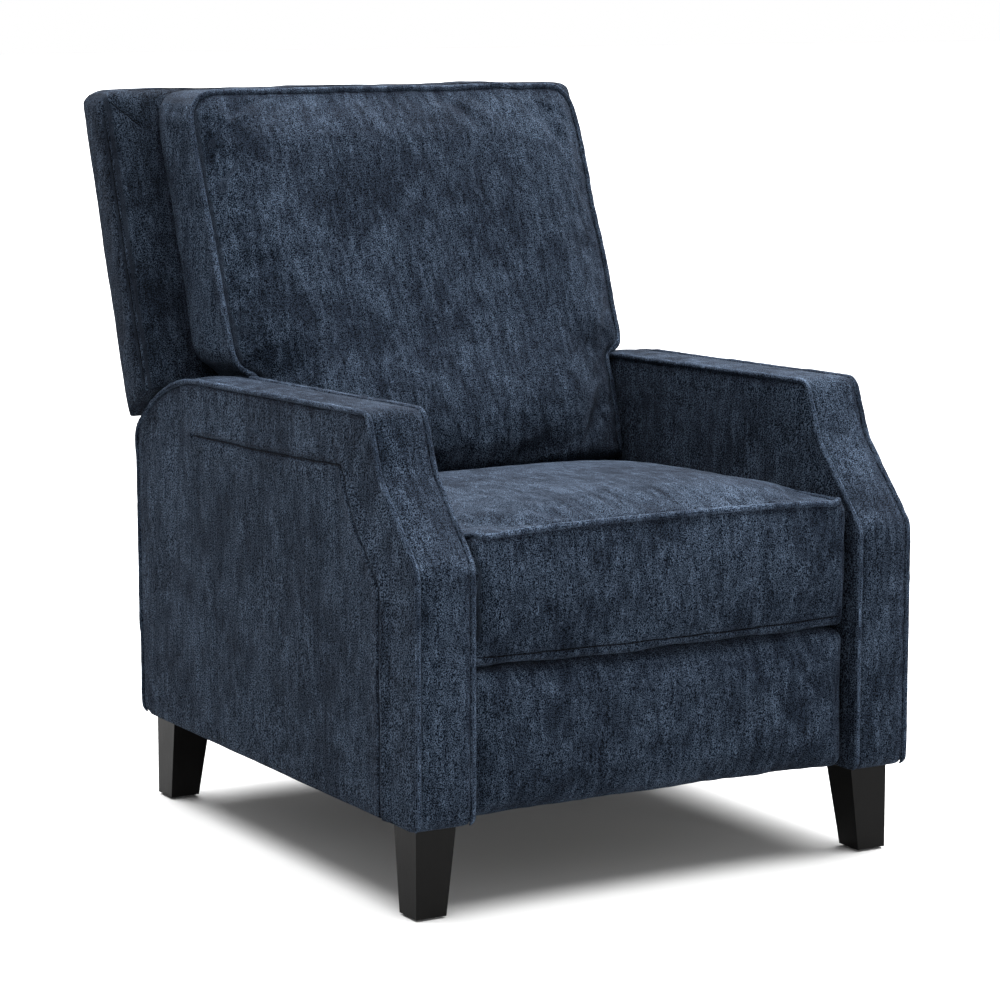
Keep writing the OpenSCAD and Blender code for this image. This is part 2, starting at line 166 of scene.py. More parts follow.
def set_points(obj, pts):
    obj.data.vertices.foreach_set("co", ((pts + (0, Y0, 0)) * MM).ravel())
    obj.data.update()


def normals_of(obj):
    co = np.empty(len(obj.data.vertices) * 3)
    obj.data.vertex_normals.foreach_get("vector", co)
    return co.reshape(-1, 3)


def prism(name, outline, low, high, along):
    """Closed solid: a 2-D outline extruded from low to high along x (outline in y, z) or y (x, z)."""
    n = len(outline)
    ring = lambda t: [((t, p[0], p[1]) if along == "x" else (p[0], t, p[1])) for p in outline]
    faces = [(i, (i + 1) % n, n + (i + 1) % n, n + i) for i in range(n)]
    obj = make_mesh(name, ring(low) + ring(high), faces + [tuple(range(n))[::-1], tuple(range(n, 2 * n))])
    fix_normals(obj)
    return obj


def fix_normals(obj):
    bm = bmesh.new()
    bm.from_mesh(obj.data)
    bmesh.ops.recalc_face_normals(bm, faces=bm.faces)
    bm.to_mesh(obj.data)
    bm.free()


def applied(obj):
    """Bakes the object's modifiers into its mesh."""
    bpy.context.view_layer.update()
    graph = bpy.context.evaluated_depsgraph_get()
    data = bpy.data.meshes.new_from_object(obj.evaluated_get(graph))
    obj.modifiers.clear()
    obj.data = data
    obj.data.shade_smooth()
    return obj


def boolean(obj, other, operation):
    mod = obj.modifiers.new("cut", "BOOLEAN")
    mod.operation, mod.object, mod.solver = operation, other, "EXACT"
    applied(obj)
    bpy.data.objects.remove(other)
    return obj


def remeshed(obj, voxel):
    mod = obj.modifiers.new("remesh", "REMESH")
    mod.mode, mod.voxel_size, mod.use_smooth_shade = "VOXEL", voxel * MM, True
    return applied(obj)


def subdivided(obj):
    mod = obj.modifiers.new("subdivision", "SUBSURF")
    mod.levels = mod.render_levels = 1
    return applied(obj)


def smoothed(obj, times, factor=0.5):
    mod = obj.modifiers.new("smooth", "SMOOTH")
    mod.iterations, mod.factor = times, factor
    return applied(obj)


# ---- shape detail worked out per vertex ----

def ripple(pts, length, seed):
    """Soft random field, about -1 to 1, whose bumps are about length apart."""
    rng = np.random.default_rng(seed)
    total = np.zeros(len(pts))
    for _ in range(9):
        direction = rng.normal(size=3)
        direction *= rng.uniform(0.6, 1.5) / np.linalg.norm(direction) * 2 * math.pi / length
        total += np.sin(pts @ direction + rng.uniform(0, 2 * math.pi))
    return total / 4.0


def near_path(pts, path):
    """Distance to a path of points, and the place along it, for every vertex."""
    path = np.asarray(path, float)
    tree = KDTree(len(path))
    for i, p in enumerate(path):
        tree.insert(p, i)
    tree.balance()
    found = [tree.find(p) for p in pts]
    return np.array([f[2] for f in found]), np.array([f[1] for f in found], float)


def seam_relief(pts, normals, path, depth=1.6, width=2.6, pucker=0.5, reach=22.0, seed=1):
    """Sinks the fabric along a seam and gathers it in small puckers beside the seam."""
    path = resampled(path, 2.0)
    d, along = near_path(pts, path)
    along *= 2.0
    rng = np.random.default_rng(seed)
    waves = sum(np.sin(along * 2 * math.pi / rng.uniform(13, 34) + rng.uniform(0, 6)) for _ in range(4)) / 3
    lift = -depth * np.exp(-(d / width) ** 2)
    lift += pucker * waves * np.exp(-d / reach * 2) * (1 - np.exp(-(d / 5.0) ** 2))
    return pts + normals * lift[:, None]


def simulate(obj, held, pressure=4.0, cap=25.0, slack=0.0, stiffness=12.0):
    """Inflates a pad with Blender's cloth, held where held is 1, and caps how far a point moves."""
    start = points_of(obj)
    group = obj.vertex_groups.new(name="held")
    for weight in np.unique(np.round(held[held > 0.01], 2)):
        group.add([int(i) for i in np.nonzero(np.abs(held - weight) < 0.006)[0]], float(weight), "REPLACE")
    cloth = obj.modifiers.new("cloth", "CLOTH")
    s = cloth.settings
    s.use_pressure, s.uniform_pressure_force = True, pressure
    s.vertex_group_mass = "held"
    s.effector_weights.gravity = 0.0
    s.tension_stiffness = s.compression_stiffness = stiffness
    s.shear_stiffness, s.bending_stiffness = stiffness * 0.4, 0.8
    s.shrink_min = s.shrink_max = -slack
    s.quality, s.air_damping = 5, 2.0
    scene = bpy.context.scene
    scene.frame_start, scene.frame_end = 1, 20
    for number in range(1, 21):
        scene.frame_set(number)
    applied(obj)
    scene.frame_set(1)
    moved = points_of(obj) - start
    size = np.linalg.norm(moved, axis=1, keepdims=True)
    limit = cap * np.tanh(size / cap)
    set_points(obj, start + moved * np.where(size > 1e-6, limit / np.maximum(size, 1e-6), 1))
    return obj


def tube(name, path, radius, closed=False, sides=10, wobble=0.0, seed=0):
    """Round piping or thread along a path, capped at open ends."""
    path = np.asarray(path, float)
    n = len(path)
    if closed:
        tangent = np.roll(path, -1, 0) - np.roll(path, 1, 0)
    else:
        tangent = np.gradient(path, axis=0)
    tangent /= np.linalg.norm(tangent, axis=1, keepdims=True)
    normal = np.cross(tangent[0], (1.0, 0.3, 0.2))
    frames = []
    for t in tangent:
        normal = normal - t * (normal @ t)
        normal /= np.linalg.norm(normal)
        frames.append((normal.copy(), np.cross(t, normal)))
    rng = np.random.default_rng(seed)
    r = radius + wobble * np.convolve(rng.normal(size=n + 8), np.ones(5) / 5, "same")[4:4 + n]
    if not closed:
        from_end = np.minimum(np.arange(n), np.arange(n)[::-1])
        r = r * np.clip(0.3 + from_end / 6, 0, 1)
    verts, faces = [], []
    for p, (u, v), rr in zip(path, frames, r):
        for k in range(sides):
            a = 2 * math.pi * k / sides
            verts.append(p + rr * (math.cos(a) * u + math.sin(a) * v))
    rings = n if closed else n - 1
    for i in range(rings):
        for k in range(sides):
            a, b = i * sides, ((i + 1) % n) * sides
            faces.append((a + k, a + (k + 1) % sides, b + (k + 1) % sides, b + k))
    if not closed:
        faces.append(tuple(range(sides))[::-1])
        faces.append(tuple(range((n - 1) * sides, n * sides)))
    obj = make_mesh(name, verts, faces)
    fix_normals(obj)
    return obj


def lay_on(path, obj, lift, passes=3):
    """Moves a path onto a piece's fabric, a little off its surface, so that piping stays on its seam."""
    corners = [tuple(p) for p in points_of(obj)]
    tree = BVHTree.FromPolygons(corners, [tuple(f.vertices) for f in obj.data.polygons])
    out = []
    for p in path:
        place, normal, _, _ = tree.find_nearest(Vector(p))
        out.append(np.array(place) + lift * np.array(normal))
    out = np.array(out)
    for _ in range(passes):
        out[1:-1] = (out[:-2] + 2 * out[1:-1] + out[2:]) / 4
    return out


# ---- materials ----

class Nodes:
    """Small helper that adds and joins shader nodes of one material."""

    def __init__(self, name):
        self.material = bpy.data.materials.new(name)
        self.material.use_nodes = True
        self.tree = self.material.node_tree
        self.shader = self.tree.nodes["Principled BSDF"]
        self.coords = self.tree.nodes.new("ShaderNodeTexCoord")

    def add(self, kind, inputs=(), **settings):
        node = self.tree.nodes.new("ShaderNode" + kind)
        for key, value in settings.items():
            setattr(node, key, value)
        for key, value in dict(inputs).items():
            if isinstance(value, bpy.types.NodeSocket):
                self.tree.links.new(value, node.inputs[key])
            else:
                node.inputs[key].default_value = value
        return node

    def math(self, operation, a, b=0.0, c=0.0, clamp=False):
        node = self.add("Math", {0: a, 1: b, 2: c}, operation=operation, use_clamp=clamp)
        return node.outputs[0]

    def mix(self, factor, a, b, kind="RGBA"):
        node = self.add("Mix", data_type=kind)
        use = {"RGBA": (0, 6, 7, 2), "VECTOR": (0, 4, 5, 1), "FLOAT": (0, 2, 3, 0)}[kind]
        for index, value in zip(use[:3], (factor, a, b)):
            if isinstance(value, bpy.types.NodeSocket):
                self.tree.links.new(value, node.inputs[index])
            else:
                node.inputs[index].default_value = value
        return node.outputs[use[3]]

    def noise(self, vector, scale, detail=3.0, rough=0.5, distortion=0.0):
        return self.add("TexNoise", {"Vector": vector, "Scale": scale, "Detail": detail,
                                     "Roughness": rough, "Distortion": distortion}).outputs["Fac"]

    def ramp(self, value, low, high):
        return self.add("MapRange", {0: value, 1: low, 2: high, 3: 0.0, 4: 1.0},
                        interpolation_type="SMOOTHSTEP").outputs[0]

    def bump(self, height, strength, distance, normal=None):
        inputs = {"Height": height, "Strength": strength, "Distance": distance}
        if normal is not None:
            inputs["Normal"] = normal
        return self.add("Bump", inputs).outputs[0]

    def set(self, **values):
        for key, value in values.items():
            socket = self.shader.inputs[key.replace("_", " ")]
            if isinstance(value, bpy.types.NodeSocket):
                self.tree.links.new(value, socket)
            else:
                socket.default_value = value
        return self.material


def chenille(name, light=1.0, grain=1.0):
    """Brushed navy chenille: fine speckled ribs whose hollows are painted darker, partly the yarn's own tone and
    partly painted shade, and mottling where the pile lies both ways.
    """
    n = Nodes(name)
    place = n.coords.outputs["Object"]
    facing = n.add("SeparateXYZ", {0: n.coords.outputs["Normal"]}).outputs
    scaled = lambda x, y, z: n.add("VectorMath", {0: place, 1: (x, y, z)}, operation="MULTIPLY").outputs[0]
    # the ribs run up the piece and front to back, so they crowd across x, or across y on a side
    sideways = n.ramp(n.math("ABSOLUTE", facing[0]), 0.55, 0.8)
    weave = n.mix(sideways, scaled(1.0, 0.62, 0.62), scaled(0.5, 0.6, 0.5), "VECTOR")
    lines = n.mix(sideways, scaled(1.0, 0.22, 0.22), scaled(0.22, 1.0, 0.22), "VECTOR")
    speck = n.noise(weave, 1000.0, 1.0, 0.5)
    thread = n.noise(weave, 1250.0, 0.0, 0.5)
    slub = n.noise(lines, 190.0, 2.0, 0.5)
    brushed = n.noise(lines, 75.0, 3.0, 0.65, 0.5)
    mottle = n.noise(place, 30.0, 4.0, 0.62, 0.7)
    patch = n.noise(place, 7.0, 2.0, 0.5, 0.5)
    lay = n.math("MULTIPLY_ADD", brushed, 0.38,
                 n.math("MULTIPLY_ADD", patch, 0.27, n.math("MULTIPLY", mottle, 0.35)))
    lay = n.ramp(lay, 0.38, 0.64)
    mixed = n.math("MULTIPLY_ADD", speck, 0.70,
                   n.math("MULTIPLY_ADD", slub, 0.15, n.math("MULTIPLY", thread, 0.15)))
    speckle = n.ramp(mixed, 0.46, 0.60)
    # The light factor multiplies the whole colour: above 1 it paints a highlighted copy of this chenille, below 1
    # a shaded copy (painted light).
    tone = lambda v: (v[0] * light, v[1] * light, v[2] * light, 1)
    # Colour of the hollows between the ribs: partly the yarn's own darker tone, partly painted shade where the
    # hollows lie in shadow; the speckle mask puts it in the low places that the bump also sinks.
    hollow_tone_and_shade = n.mix(lay, tone((0.0004, 0.0008, 0.0018)), tone((0.0015, 0.0028, 0.0055)))
    raised = n.mix(lay, tone((0.0095, 0.0140, 0.0225)), tone((0.0390, 0.0540, 0.0790)))
    colour = n.mix(speckle, hollow_tone_and_shade, raised)
    height = n.math("MULTIPLY_ADD", speckle, 0.7, n.math("MULTIPLY", thread, 0.3))
    fine = n.bump(height, 0.8 * grain, 0.0012)
    full = n.bump(lay, 0.4, 0.0025, fine)
    rough = n.math("MULTIPLY_ADD", speckle, -0.12, 0.92)
    return n.set(Base_Color=colour, Roughness=rough, Normal=full, Sheen_Weight=0.03,
                 Sheen_Roughness=0.4, Sheen_Tint=(0.45, 0.58, 0.85, 1), Specular_IOR_Level=0.02)


def dark_wood(name):
    """Near-black satin lacquer over wood whose grain runs up the leg."""
    n = Nodes(name)
    place = n.coords.outputs["Object"]
    along = n.add("VectorMath", {0: place, 1: (1.0, 1.0, 0.06)}, operation="MULTIPLY").outputs[0]
    grain = n.noise(along, 320.0, 5.0, 0.6, 0.8)
    pores = n.ramp(n.noise(along, 900.0, 2.0), 0.5, 0.75)
    cloud = n.noise(place, 22.0, 3.0)
    colour = n.mix(grain, (0.0010, 0.0010, 0.0010, 1), (0.0026, 0.0025, 0.0024, 1))
    rough = n.math("MULTIPLY_ADD", cloud, 0.16, n.math("MULTIPLY_ADD", grain, 0.1, 0.24))
    bump = n.bump(n.math("MULTIPLY_ADD", pores, -0.6, grain), 0.18, 0.0004)
    return n.set(Base_Color=colour, Roughness=rough, Normal=bump, Specular_IOR_Level=0.05)


def raw_wood(name):
    """Plywood and softwood of the hidden frame."""
    n = Nodes(name)
    place = n.add("VectorMath", {0: n.coords.outputs["Object"], 1: (0.12, 1.0, 1.0)},
                  operation="MULTIPLY").outputs[0]
    grain = n.noise(place, 95.0, 6.0, 0.65, 1.6)
    ring = n.noise(place, 24.0, 2.0, 0.5, 2.0)
    tone = n.math("MULTIPLY_ADD", ring, 0.5, n.math("MULTIPLY", grain, 0.5))
    colour = n.mix(n.ramp(tone, 0.3, 0.7), (0.29, 0.17, 0.08, 1), (0.58, 0.41, 0.23, 1))
    rough = n.math("MULTIPLY_ADD", grain, 0.2, 0.6)
    return n.set(Base_Color=colour, Roughness=rough, Normal=n.bump(grain, 0.25, 0.0006))


def metal(name, low, high, rough, metallic=1.0):
    """Steel with a worn, slightly uneven finish."""
    n = Nodes(name)
    place = n.coords.outputs["Object"]
    wear = n.noise(place, 60.0, 5.0, 0.65)
    along = n.add("VectorMath", {0: place, 1: (1.0, 0.1, 1.0)}, operation="MULTIPLY").outputs[0]
    scratch = n.noise(along, 700.0, 2.0)
    tone = n.ramp(n.math("MULTIPLY_ADD", scratch, 0.4, n.math("MULTIPLY", wear, 0.6)), 0.35, 0.7)
    return n.set(Base_Color=n.mix(tone, low, high), Metallic=metallic,
                 Roughness=n.math("MULTIPLY_ADD", wear, 0.25, rough), Normal=n.bump(scratch, 0.12, 0.0003))


def plain_cloth(name):
    """Black non-woven dust cloth with a fine pressed dot pattern."""
    n = Nodes(name)
    place = n.coords.outputs["Object"]
    dots = n.add("TexVoronoi", {"Vector": place, "Scale": 420.0}).outputs["Distance"]
    fibre = n.noise(place, 900.0, 3.0)
    colour = n.mix(n.ramp(fibre, 0.35, 0.7), (0.006, 0.006, 0.007, 1), (0.02, 0.02, 0.022, 1))
    return n.set(Base_Color=colour, Roughness=n.math("MULTIPLY_ADD", fibre, 0.2, 0.75),
                 Normal=n.bump(dots, 0.4, 0.0005))


def moulded_plastic(name):
    n = Nodes(name)
    place = n.coords.outputs["Object"]
    texture = n.noise(place, 900.0, 3.0)
    colour = n.mix(texture, (0.012, 0.012, 0.013, 1), (0.026, 0.026, 0.028, 1))
    return n.set(Base_Color=colour, Roughness=n.math("MULTIPLY_ADD", texture, 0.25, 0.4),
                 Normal=n.bump(texture, 0.2, 0.0003))


FABRIC = chenille("chenille_navy")
# Piping chenille painted 1.45 times lighter than the cover: a painted highlight along the piping.
HIGHLIGHTED_WELT = chenille("chenille_welt_painted_highlight", light=1.45, grain=0.8)
# Seam thread painted far darker than the cover: partly the thread's own colour, partly painted shade of the seam's
# groove.
SHADED_SEAM_THREAD = chenille("seam_thread_painted_shade", light=0.22, grain=0.6)
# Back slab chenille painted 0.7 times as light: painted shade for the slab sitting behind the cushion.
SHADED_BACK_FABRIC = chenille("chenille_back_painted_shade", light=0.7)
MATERIALS = {
    "dark_wood": dark_wood("leg_lacquer"),
    "frame_wood": raw_wood("frame_plywood"),
    "mechanism_steel": metal("mechanism_paint", (0.012, 0.012, 0.013, 1),
                             (0.035, 0.035, 0.037, 1), 0.38, 0.4),
    "zinc": metal("zinc_plate", (0.42, 0.42, 0.4, 1), (0.68, 0.68, 0.66, 1), 0.28),
    "spring_wire": metal("spring_steel", (0.2, 0.2, 0.2, 1), (0.42, 0.42, 0.42, 1), 0.3),
    "dust_cloth": plain_cloth("dust_cloth_black"),
    "black_plastic": moulded_plastic("glide_plastic"),
    "chenille": FABRIC,
    "piping": HIGHLIGHTED_WELT,
}


def dress(obj, material, body, replaced=()):
    """Gives a piece its material and the body it rides on."""
    obj.data.materials.clear()
    obj.data.materials.append(material)
    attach(obj, body)
    if replaced:
        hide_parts(*replaced)
    return obj


def dress_frame():
    """Carried-over CAD nodes get the procedural material of their slot."""
    for entry in frame["record"]["subparts"]:
        node = frame["nodes"][entry["node"]]
        node.data.materials.clear()
        node.data.materials.append(MATERIALS[entry["material_slot"]])


# ---- arms ----

def arm_points():
    """Side outline of an arm, clockwise from its front bottom corner, as in the frame."""
    rear_y = 364.0
    end = math.acos((rear_y - HINGE[0]) / ARM_ARC_R)
    low = ARM_BOTTOM - 3
    arc = [(HINGE[0] + ARM_ARC_R * math.cos(a), HINGE[1] + ARM_ARC_R * math.sin(a), 0)
           for a in np.radians(np.arange(88, math.degrees(end), -5))]
    return ([(-480, low, 20), (-480, 455, 30), (-382, 562, 60), (-352, 640, 20)] + arc
            + [(rear_y, HINGE[1] + ARM_ARC_R * math.sin(end), 12), (356, low, 20)])


def arm_welt(x, drop=1.5):
    """Path of an arm's piping: up the front, over the top and down the rear, open at the bottom."""
    outline = rounded(inset(arm_points(), 2.0 + drop), 8)
    closed = resampled(outline, 2.5, closed=True)
    keep = closed[:, 1] > ARM_BOTTOM + 0.5
    first = int(np.argmax(keep & ~np.roll(keep, 1)))
    ordered = np.roll(closed, -first, 0)
    ordered = ordered[np.roll(keep, -first)]
    return np.column_stack([np.full(len(ordered), x), ordered])


def border_seam(x):
    """Sewn seam that frames the arm's side: under the top edge, then down behind the front edge."""
    points = [(165, 550, 0), (60, 552, 60), (-24, 553, 60), (-279, 564, 5), (-320, 496, 40),
              (-386, 421, 22), (-385, ARM_BOTTOM + 2, 0)]
    outline = rounded(points, 8)
    flat = resampled(outline[:], 2.5)
    return np.column_stack([np.full(len(flat), x), flat])


def within(pts, polygon):
    """Whether side-view points (y, z) lie inside a polygon."""
    a, b = polygon, np.roll(polygon, -1, 0)
    hits = np.zeros(len(pts), int)
    for (y0, z0), (y1, z1) in zip(a, b):
        if z0 == z1:
            continue
        spans = (pts[:, 1] >= min(z0, z1)) & (pts[:, 1] < max(z0, z1))
        hits += spans & (pts[:, 0] < y0 + (pts[:, 1] - z0) * (y1 - y0) / (z1 - z0))
    return hits % 2 == 1


def arm(side):
    """Padded arm: crowned side panels, a soft band between two lines of piping, and sewn seams."""
    name = "left" if side > 0 else "right"
    outline = rounded(inset(arm_points(), 2.0), 8)
    obj = prism(f"arm_{name}", outline, ARM_IN, ARM_OUT, "x")
    obj = remeshed(obj, 5.0)
    pts, nor = points_of(obj), normals_of(obj)
    edge = np.column_stack([np.zeros(len(outline)), outline])
    flat = pts.copy()
    flat[:, 0] = 0
    inside, _ = near_path(flat, resampled(np.vstack([edge, edge[:1]]), 3.0))
    middle = (ARM_IN + ARM_OUT) / 2
    half = (ARM_OUT - ARM_IN) / 2
    # the band bulges between its two seams, and the side panels bulge a little inside theirs
    across = np.clip(np.abs(pts[:, 0] - middle) / half, 0, 1)
    band = (np.abs(nor[:, 0]) < 0.7) & (pts[:, 2] > ARM_BOTTOM + 3)
    crown = np.where(band, 5.5 * (1 - across ** 2.2), 0)
    crown *= np.clip((pts[:, 2] - ARM_BOTTOM) / 40, 0, 1)
    outward = np.where(pts[:, 0] > middle, 1.0, -1.0)
    swell = np.where(~band, 2.5 * (1 - np.exp(-inside / 22.0)), 0)
    pts += nor * crown[:, None]
    pts[:, 0] += outward * (swell - 2.5)
    uneven = 0.8 * ripple(pts, 120, 5) + 0.35 * ripple(pts, 42, 6)
    pts += nor * uneven[:, None] * np.clip(inside / 30, 0.3, 1)[:, None]
    set_points(obj, pts)
    obj = subdivided(smoothed(obj, 2))
    pts, nor = points_of(obj), normals_of(obj)
    for k, x in enumerate((ARM_IN + 2, ARM_OUT - 2)):
        pts = seam_relief(pts, nor, arm_welt(x, 0.0), 2.2, 3.5, 0.7, 26, seed=10 + k)
    seam = border_seam(ARM_OUT)
    panel = np.vstack([seam[:, 1:], [(-385, 60), (500, 60), (500, 540)]])
    d, _ = near_path(pts, seam)
    puff = np.where(within(pts[:, 1:], panel), 2.4, 5.5) * np.clip(d / 6, 0, 1) * np.exp(-(d / 19) ** 2)
    puff *= np.clip((548 - pts[:, 2]) / 12, 0.5, 1)
    pts[:, 0] += puff * (nor[:, 0] > 0.7)
    upright = np.clip((548 - pts[:, 2]) / 12, 0.4, 1)[:, None]
    pts = pts + (seam_relief(pts, nor, seam, 5.0, 4.2, 1.0, 24, seed=13) - pts) * upright
    if side < 0:
        pts[:, 0] *= -1
    set_points(obj, pts)
    if side < 0:
        obj.data.flip_normals()
    for word, x in (("outer", ARM_OUT - 3.6), ("inner", ARM_IN + 3.6)):
        path = arm_welt(x, -0.3)
        path[:, 0] *= side
        welt = tube(f"arm_piping_{word}_{name}", lay_on(path, obj, 3.0), 3.9, wobble=0.25, seed=3)
        dress(welt, HIGHLIGHTED_WELT, "base", [f"arm_piping_{name}"])
    path = border_seam(ARM_OUT - 2.6)
    path[:, 0] *= side
    thread = tube(f"arm_border_seam_{name}", lay_on(path, obj, 0.3), 1.4, sides=6, wobble=0.12)
    dress(thread, SHADED_SEAM_THREAD, "base")
    nodes = [f"arm_{part}_{name}" for part in ("outer_panel", "inner_panel", "band")]
    dress(obj, FABRIC, "base", nodes)


# ---- seat ----

SEAT_FRONT = seat_low[1] - Y0


def seat_front_top(x):
    """Height of the seat's front piping: a little lower at the corners."""
    return 494.0 - 7.0 * np.abs(x / SEAT_X) ** 3


def seat_cushion():
    """Boxed seat cushion: crowned top and front, piped round the top edge."""
    rear = seat_high[1] - Y0
    outline = rounded([(SEAT_FRONT + 3, 317, 12), (SEAT_FRONT + 3, 490, 7), (70, 472, 60), (rear, 472, 10),
                       (rear, 408, 5), (-439, 408, 0), (-439, 317, 9)])
    obj = remeshed(prism("seat_cushion_fabric", outline, -SEAT_X + 2, SEAT_X - 2, "x"), 5.5)
    pts, nor = points_of(obj), normals_of(obj)
    sag = seat_front_top(pts[:, 0]) - 490.0 + 1
    pts[:, 2] += sag * np.clip((pts[:, 2] - 350) / 140, 0, 1) * np.clip((-pts[:, 1] - 300) / 160, 0, 1)
    hem = (3.0 * (pts[:, 0] / SEAT_X) ** 2 + 1.2 * np.sin(pts[:, 0] / 47.0)
           + 0.8 * np.sin(pts[:, 0] / 19.0 + 1))
    pts[:, 2] += np.where(pts[:, 1] < -430, hem * np.clip((360 - pts[:, 2]) / 30, 0, 1), 0)
    set_points(obj, pts)
    seam = seat_welt_path(0.0)
    d, _ = near_path(pts, resampled(seam, 4.0))
    held = np.clip((14 - d) / 6, 0, 1)
    held = np.maximum(held, (nor[:, 2] < -0.5).astype(float))
    held = np.maximum(held, (pts[:, 1] > 90).astype(float))
    held = np.maximum(held, np.clip((340 - pts[:, 2]) / 6, 0, 1))
    held = np.maximum(held, np.where(np.abs(nor[:, 0]) > 0.8, 1.0, 0))
    top = np.clip((nor[:, 2] - 0.5) * 2, 0, 1) * np.clip(d / 50, 0, 1) ** 0.6
    crown = 29        # the simulation adds the rest
    bulge = crown * (1 - np.abs(pts[:, 0] / SEAT_X) ** 3) * np.clip(
        1 - np.abs((pts[:, 1] + 230) / 300) ** 2.4, 0, 1)
    front = np.clip((-nor[:, 1] - 0.5) * 2, 0, 1) * (1 - held) * np.sin(
        np.clip((pts[:, 2] - 330) / 158, 0, 1) * math.pi) ** 0.6
    pts += nor * (top * bulge + front * 6)[:, None]
    set_points(obj, pts)
    simulate(obj, held, pressure=2.0, cap=9.0, slack=0.02)
    obj = subdivided(smoothed(obj, 2))
    pts, nor = points_of(obj), normals_of(obj)
    pts += nor * (0.7 * ripple(pts, 90, 21) + 0.4 * ripple(pts, 38, 22))[:, None]
    pts = seam_relief(pts, nor, seam, 1.4, 3.6, 1.1, 30, seed=23)
    low_seam = np.array([[x, SEAT_FRONT + 1, 330 + 3 * (x / SEAT_X) ** 2]
                         for x in np.linspace(-SEAT_X + 6, SEAT_X - 6, 120)])
    pts = seam_relief(pts, nor, low_seam, 2.6, 2.8, 0.9, 20, seed=24)
    set_points(obj, pts)
    welt = tube("seat_cushion_piping", lay_on(seat_welt_path(1.0), obj, 3.2), 4.2, wobble=0.3, seed=5)
    dress(welt, HIGHLIGHTED_WELT, "seat", ["seat_piping"])
    thread = tube("seat_hem_seam", lay_on(low_seam, obj, 0.5), 1.3, sides=6, wobble=0.12)
    dress(thread, SHADED_SEAM_THREAD, "seat")
    dress(obj, FABRIC, "seat", ["seat_cushion"])


def seat_side_cloth(side):
    """Strip of cover fabric stapled over the outside of a seat rail, seen when the seat is forward."""
    rails_low, rails_high = box_mm("seat_side_rails")
    front = box_mm("seat_front_rail")[0][1] - Y0
    rear, under, over = rails_high[1] - Y0, rails_low[2] - 3, rails_high[2] + 6
    outline = rounded([(front - 1, under, 5), (front - 1, over, 5), (rear, over, 5), (rear, under, 5)])
    x = sorted((side * (rails_high[0] + 0.3), side * (rails_high[0] + 1.6)))
    obj = prism("seat_side_cloth_" + ("left" if side > 0 else "right"), outline, x[0], x[1], "x")
    dress(obj, FABRIC, "seat")


def seat_welt_path(out):
    """Top edge of the seat cushion: up one side, across the front and back along the other side."""
    x = SEAT_X - 4 + out
    corner = 26
    arc = [(x - corner + corner * math.cos(a), SEAT_FRONT + 2 - out + corner - corner * math.sin(a))
           for a in np.linspace(0, math.pi / 2, 8)]
    right = [(x, y) for y in np.linspace(60, SEAT_FRONT + 2 - out + corner, 60)][:-1]
    half = right + arc
    flat = np.array(half + [(-p[0], p[1]) for p in half[::-1]])
    flat = resampled(flat, 3.0)
    z = seat_front_top(flat[:, 0] * np.clip((-flat[:, 1] - 200) / 240, 0.98, 1)) + out * 0.7
    z = z - 18 * np.clip((flat[:, 1] + 420) / 490, 0, 1)
    return np.column_stack([flat, z])


# ---- back ----

def on_back(n, s):
    """Side-view point n in front (negative) of the back's rear face and s along it from its foot."""
    c, q = math.cos(LEAN), math.sin(LEAN)
    return BACK_FOOT + np.array([n * c + s * q, -n * q + s * c])


def back_s(n, z):
    return (z - BACK_FOOT[1] + n * math.sin(LEAN)) / math.cos(LEAN)


def clear_of_arms(obj, radius, half):
    """Cuts the wings back to the arc that the arms need."""
    turn = np.linspace(0, 2 * math.pi, 97)[:-1]
    circle = np.column_stack([HINGE[0] + radius * np.cos(turn), HINGE[1] + radius * np.sin(turn)])
    for low, high in ((half, 600), (-600, -half)):
        boolean(obj, prism("cutter", circle, low, high, "x"), "DIFFERENCE")
        block = np.array([(50, 100), (700, 100), (700, 480), (50, 480)], float)
        boolean(obj, prism("cutter", block, low, high, "x"), "DIFFERENCE")
    return obj


FOOT_LOW = 303.0                        # lower edge of the back's upright foot
FOOT_X = STEM_X + 3.0                   # its half width, which covers the plywood's ends


